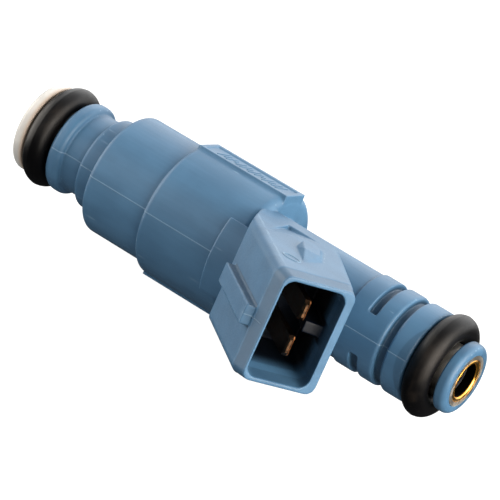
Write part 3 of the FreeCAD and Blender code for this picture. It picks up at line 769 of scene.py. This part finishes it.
def raised_bar(centre, half_length, half_width, slant, floor, height, up):
    """Rounded bar on a flat floor, as rings of points from its foot to its crown."""
    # each ring: share of the bar's width, height over the floor
    rings = ((1.0, -0.08), (1.0, 0.55*height), (0.82, 0.85*height), (0.5, height))
    steps = 20
    points, faces = [], []
    for share, rise in rings:
        width = half_width*share
        reach = half_length - half_width + width
        for i in range(steps):
            angle = 2*math.pi*i/steps
            side = width*math.cos(angle)
            end = width*math.sin(angle) + math.copysign(reach - width, math.sin(angle))
            turned = Vector((side, end)) @ Matrix.Rotation(slant, 2)
            points.append((centre[0] + turned.x, centre[1] + turned.y, up*(floor + rise)))
    for ring in range(len(rings) - 1):
        for i in range(steps):
            a, b = ring*steps + i, ring*steps + (i + 1) % steps
            faces.append((a, b, b + steps, a + steps))
    faces.append(tuple(range(steps)))
    faces.append(tuple(range((len(rings) - 1)*steps, len(rings)*steps)))
    return points, faces


def pad_marks_mesh(up):
    """Row of plain raised bars and dots on the floor of a name pad."""
    first, pitch, half_width, height = 23.3, 0.74, 0.16, 0.11
    least_half, added_half = 0.16, 1.1
    slant = math.radians(18)
    pattern = (1.0, 0.55, 1.0, 0.25, 0.8, 1.0, 0.4, 1.0, 0.7, 0.25, 1.0, 0.55, 0.9, 1.0)
    points, faces = [], []
    for number, share in enumerate(pattern):
        bar = raised_bar((first + pitch*number, 0.0), least_half + added_half*share,
                         half_width, slant, PAD_FLOOR, height, up)
        start = len(points)
        points += bar[0]
        faces += [tuple(start + corner for corner in face) for face in bar[1]]
    return mesh_of("pad_marks", points, faces)


def socket_mark_mesh():
    """Plain raised oval ring on the top of the socket."""
    centre, reach, width, height = Vector((46.9, -18.7)), (1.25, 0.75), 0.14, 0.1
    around, about = 48, 8
    points, faces = [], []
    for i in range(around):
        angle = 2*math.pi*i/around
        flat = Vector((reach[0]*math.cos(angle), reach[1]*math.sin(angle)))
        outward = flat.normalized()
        for j in range(about):
            turn = 2*math.pi*j/about
            place = centre + flat + outward*width*math.cos(turn)
            points.append((place.x, place.y, SOCKET_TOP + height*math.sin(turn)))
    for i in range(around):
        for j in range(about):
            a, b = i*about, (i + 1) % around*about
            following = (j + 1) % about
            faces.append((a + j, a + following, b + following, b + j))
    return mesh_of("socket_mark", points, faces)


def add_plastic_body(finishes):
    """Moulded body with its parting ridge, pad marks and the mark on the socket."""
    plastic = finishes["body_plastic"]
    ridge = body_plastic("flash_plastic", lighter=0.45)
    mesh = body_mesh()
    new_piece("body_moulding", mesh, plastic, node="plastic_body")
    new_piece("parting_ridge", parting_mesh(mesh), ridge)
    new_piece("pad_marks_top", pad_marks_mesh(1), plastic)
    new_piece("pad_marks_under", pad_marks_mesh(-1), plastic)
    new_piece("socket_mark", socket_mark_mesh(), ridge)


# ---------------------------------------------------------------- turned and moulded rings
def add_o_rings(finishes):
    """Two O-rings with a faint flash line on the outside."""
    section_radius = (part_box("manifold_oring")[1][0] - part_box("manifold_oring")[0][0])/2/MM
    flash, flash_angle = 0.025, math.radians(5)
    steps = 96
    for node in ("manifold_oring", "rail_oring"):
        low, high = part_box(node)
        station = (low[0] + high[0])/2/MM
        ring_radius = high[1]/MM - section_radius
        profile = []
        for i in range(steps):
            angle = 2*math.pi*i/steps
            off = (angle - math.pi/2)/flash_angle
            reach = section_radius - flash + flash*math.exp(-off*off)
            profile.append((station + reach*math.cos(angle),
                            ring_radius + reach*math.sin(angle)))
        new_piece(node + "_seal", lathe(node, profile), finishes["seal_rubber"],
                  node=node)


def add_tip_cap(finishes):
    """White cap: rounded edges, a shallow dish in front and a chamfered mouth."""
    low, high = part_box("tip_cap")
    front, back, radius = low[0]/MM, high[0]/MM, high[1]/MM
    bore, mouth, edge, back_edge = 3.76, 2.4, 0.75, 0.18
    dish, dish_radius, chamfer = 0.25, 5.1, 0.3
    profile = [(front + dish + chamfer, mouth), (front + dish, mouth + chamfer)]
    profile += [(front + dish, dish_radius - 0.25), (front, dish_radius + 0.1)]
    profile += arc((front + edge, radius - edge), edge, 180, 90)
    profile += arc((back - back_edge, radius - back_edge), back_edge, 90, 0, 5)
    profile += [(back, bore), (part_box("valve_body")[0][0]/MM, bore),
                (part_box("valve_body")[0][0]/MM, mouth)]
    new_piece("tip_cap_moulding", lathe("tip_cap", profile), finishes["cap_plastic"],
              node="tip_cap")


def add_inlet_rim(finishes):
    """Blue rim: full outer round, small inner bead beside the steel tube."""
    low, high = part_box("inlet_rim")
    front, back, radius = low[0]/MM, high[0]/MM, high[1]/MM
    bore, edge, front_edge, bead = 3.65, 0.8, 0.35, 0.16
    profile = [(front, bore)]
    profile += arc((front + front_edge, radius - front_edge), front_edge, 180, 90, 6)
    profile += arc((back - edge, radius - edge), edge, 90, 0, 14)
    profile += arc((back - bead, bore + bead), bead, 0, -90, 5)
    new_piece("inlet_rim_moulding", lathe("inlet_rim", profile), finishes["body_plastic"],
              node="inlet_rim")


def add_filter_sleeve(finishes):
    """Brass sleeve of the inlet filter with a rolled end."""
    low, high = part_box("filter_sleeve")
    front, back, radius = low[0]/MM, high[0]/MM, high[1]/MM
    bore = 2.4
    roll = (radius - bore)/2
    profile = [(front, bore), (front, radius)]
    profile += arc((back - roll, radius - roll), roll, 90, -90, 14)
    new_piece("filter_sleeve_rolled", lathe("filter_sleeve", profile),
              finishes["filter_brass"], node="filter_sleeve")


def add_spring(finishes):
    """Closing spring, on its own copy of the part's mesh."""
    spring = new_piece("return_spring_wire", nodes["return_spring"].data.copy(),
                       finishes["spring_steel"], node="return_spring")
    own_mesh(spring)


# ---------------------------------------------------------------- light and ground
def soft_box(name, toward, distance, size, power, colour=(1, 1, 1)):
    """Rectangular light that faces the injector from a direction, width along X first."""
    data = bpy.data.lights.new(name, "AREA")
    data.shape = "RECTANGLE"
    data.size, data.size_y = size
    data.energy = power
    data.color = colour
    lamp = bpy.data.objects.new(name, data)
    bpy.context.scene.collection.objects.link(lamp)
    toward = Vector(toward).normalized()
    middle = Vector((0.032, 0, 0))
    turned = toward.to_track_quat("Z", "Y").to_matrix().to_4x4()
    lamp.matrix_world = Matrix.Translation(middle + toward*distance) @ turned
    lamp.visible_camera = False


def add_ground():
    """White table: plain white to look at, and a weaker glow on the injector."""
    reach = 4.0/MM
    bounce, seen_white = 0.36, 1.0
    level = cad_box[0][2]/MM
    corners = [(-reach, -reach, level), (reach, -reach, level),
               (reach, reach, level), (-reach, reach, level)]
    table = bpy.data.objects.new("table", mesh_of("table", corners, [(0, 1, 2, 3)], False))
    bpy.context.scene.collection.objects.link(table)
    white = bpy.data.materials.new("white_table")
    white.use_nodes = True
    shader = white.node_tree.nodes["Principled BSDF"]
    shader.inputs["Base Color"].default_value = (0.15, 0.15, 0.15, 1)
    shader.inputs["Roughness"].default_value = 0.9
    shader.inputs["Specular IOR Level"].default_value = 0.0
    shader.inputs["Emission Color"].default_value = (1, 1, 1, 1)
    tree = white.node_tree
    seen = tree.nodes.new("ShaderNodeLightPath")
    glow = tree.nodes.new("ShaderNodeMapRange")
    glow.inputs["To Min"].default_value = bounce
    glow.inputs["To Max"].default_value = seen_white
    tree.links.new(seen.outputs["Is Camera Ray"], glow.inputs["Value"])
    tree.links.new(glow.outputs[0], shader.inputs["Emission Strength"])
    table.data.materials.append(white)
    table.visible_glossy = False


def add_light():
    """Large soft boxes round the injector: above and behind, low at both ends, weak in front."""
    warm, warmer = (1.0, 0.95, 0.88), (1.0, 0.91, 0.81)
    scene = bpy.context.scene
    scene.view_settings.view_transform = "Standard"
    world = bpy.data.worlds.new("studio")
    world.use_nodes = True
    background = world.node_tree.nodes["Background"]
    background.inputs["Color"].default_value = (0.93, 0.97, 1.0, 1)
    background.inputs["Strength"].default_value = 0.05
    scene.world = world
    soft_box("top_box", (0, 0.42, 0.91), 0.55, (1.3, 0.62), 4.7)
    soft_box("back_box", (0, 0.87, 0.5), 0.6, (1.3, 0.5), 4.8)
    soft_box("front_box", (0, -0.93, 0.37), 0.95, (1.6, 0.75), 2.5)
    soft_box("left_box", (-0.94, -0.33, 0.12), 0.8, (0.9, 0.8), 14.0, warm)
    soft_box("upper_left_box", (-0.75, 0, 0.66), 0.7, (0.6, 0.5), 1.2)
    soft_box("right_box", (0.94, -0.1, 0.33), 0.8, (0.9, 0.8), 13.5, warmer)
    soft_box("low_right_box", (0.95, -0.3, 0.13), 0.8, (0.9, 0.6), 15.5, warmer)


finishes = make_materials()
add_camera()
add_plastic_body(finishes)
add_o_rings(finishes)
add_tip_cap(finishes)
add_inlet_rim(finishes)
add_filter_sleeve(finishes)
add_spring(finishes)
for subpart in frame["record"]["subparts"]:
    node = nodes[subpart["node"]]
    node.data.materials.clear()
    node.data.materials.append(finishes[subpart["material_slot"]])
add_ground()
add_light()
